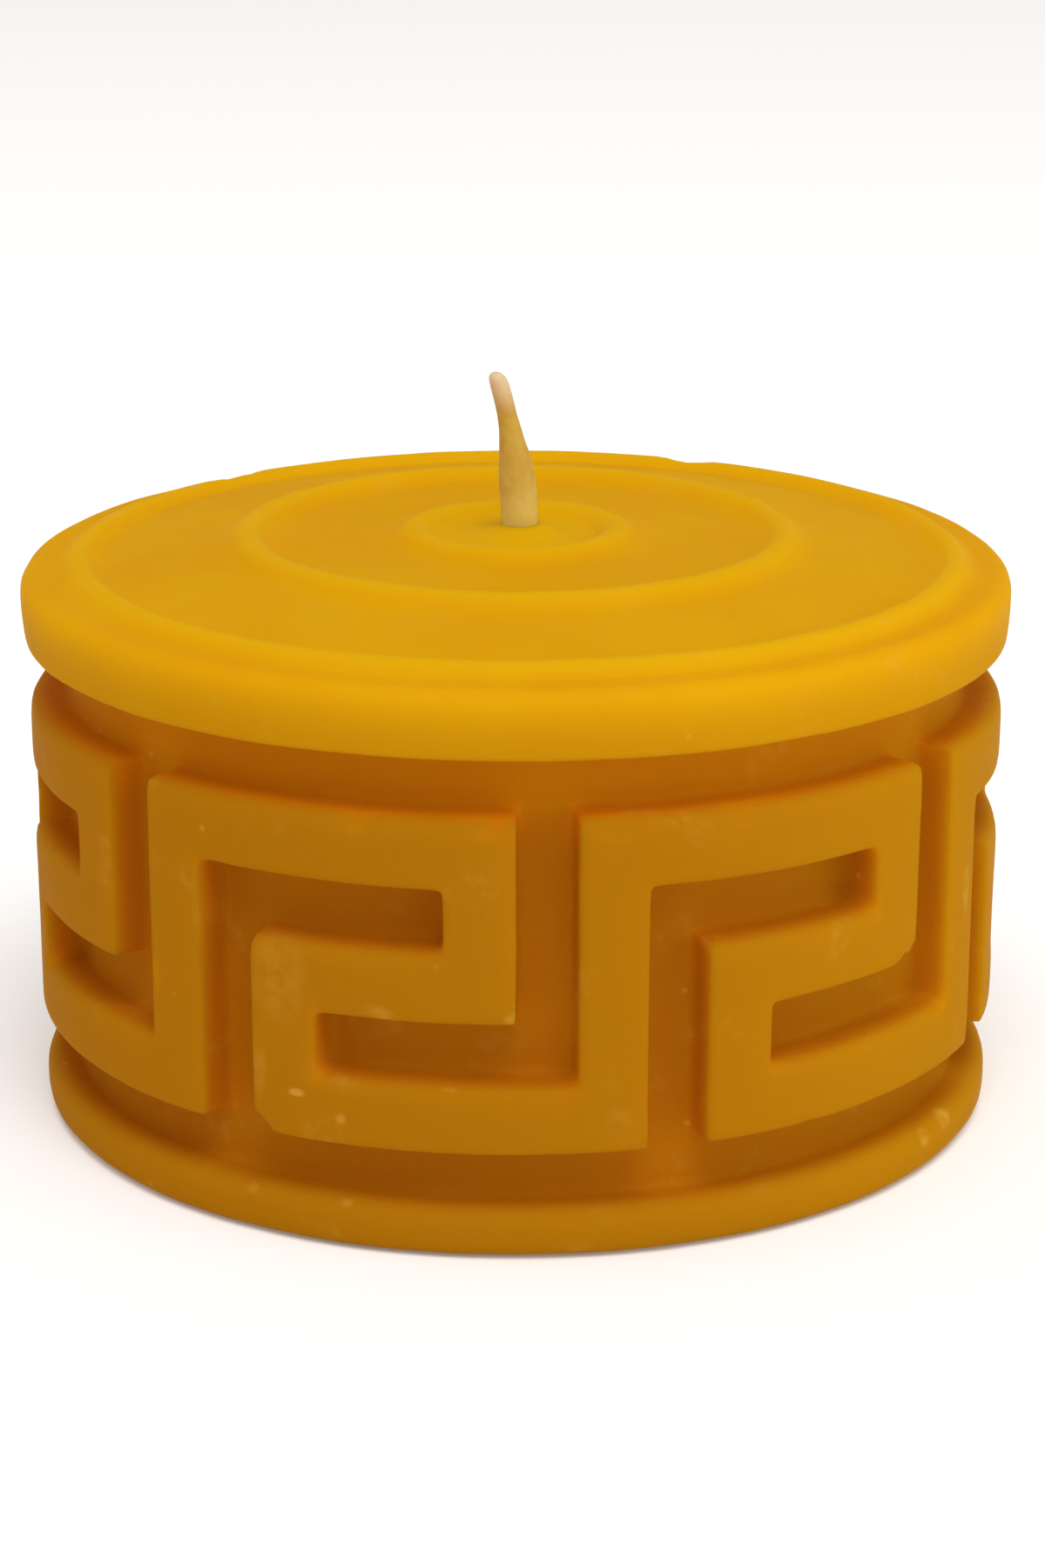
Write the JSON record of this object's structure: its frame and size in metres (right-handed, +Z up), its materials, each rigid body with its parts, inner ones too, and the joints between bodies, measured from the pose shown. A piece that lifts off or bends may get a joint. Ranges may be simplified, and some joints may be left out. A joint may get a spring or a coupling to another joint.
{
  "type": "unity candle",
  "caption": "Low round beeswax pillar candle with a raised Greek key band round its side, concentric raised rings on its top and a short waxed cotton wick.",
  "frame": {"origin": "centre of the flat base that the candle stands on", "axes": "+Z up along the candle's middle, -Y the front, +X to the right of someone who looks at the front"},
  "size_m": [0.08, 0.08, 0.0597],
  "materials": {
    "beeswax": "golden beeswax, soft satin, light shines through it",
    "fill_wax": "golden beeswax as poured, slightly paler and glossier",
    "wick_wax": "thin pale wax over cotton, satin",
    "cotton": "undyed cotton yarn soaked in wax"
  },
  "bodies": {
    "root": {"wax_body": "beeswax", "base_fill": "fill_wax", "wick_coat": "wick_wax", "wick_strand_1": "cotton", "wick_strand_2": "cotton", "wick_strand_3": "cotton", "wick_strand_4": "cotton"}
  },
  "joints": []
}
